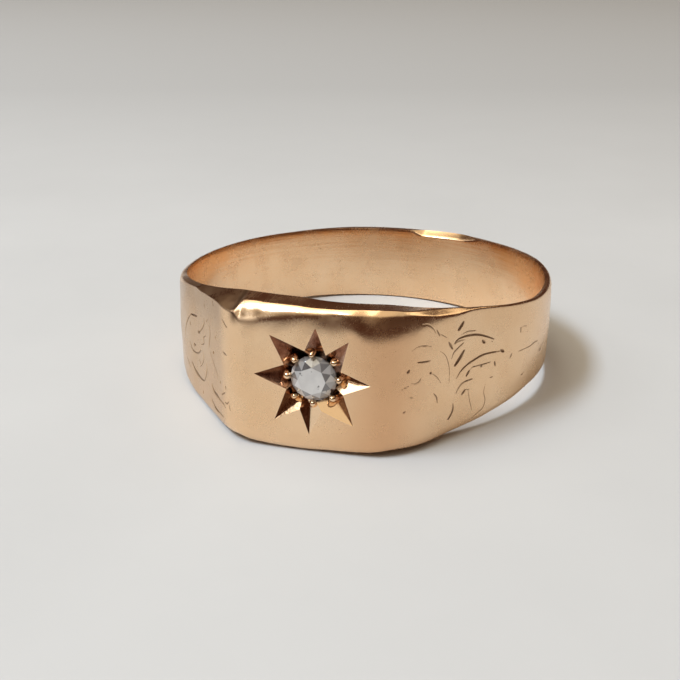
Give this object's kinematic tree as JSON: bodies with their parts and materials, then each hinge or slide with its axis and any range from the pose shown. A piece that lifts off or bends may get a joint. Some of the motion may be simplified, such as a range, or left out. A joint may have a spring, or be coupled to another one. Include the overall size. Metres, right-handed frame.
{
  "type": "star-set signet ring",
  "caption": "Tapering rose-gold signet ring with a flat oblong head, a small faceted stone sunk in a cut star, and a section let into the back of the band.",
  "frame": {"origin": "the middle of the finger bore, half way up the ring", "axes": "+Z along the finger, the flat head faces -Y, +X to the right when facing the head"},
  "size_m": [0.0194, 0.0209, 0.007],
  "materials": {
    "gold": "worn polish with fine scratches",
    "solder": "worn polish, a little paler than the gold",
    "stone": "faceted and polished"
  },
  "bodies": {
    "root": {"signet_head": "gold", "left_shoulder": "gold", "right_shoulder": "gold", "back_shank": "gold", "head_seam_left": "solder", "head_seam_right": "solder", "shank_seam_left": "solder", "shank_seam_right": "solder", "diamond": "stone", "setting_grains": "gold"}
  },
  "joints": []
}
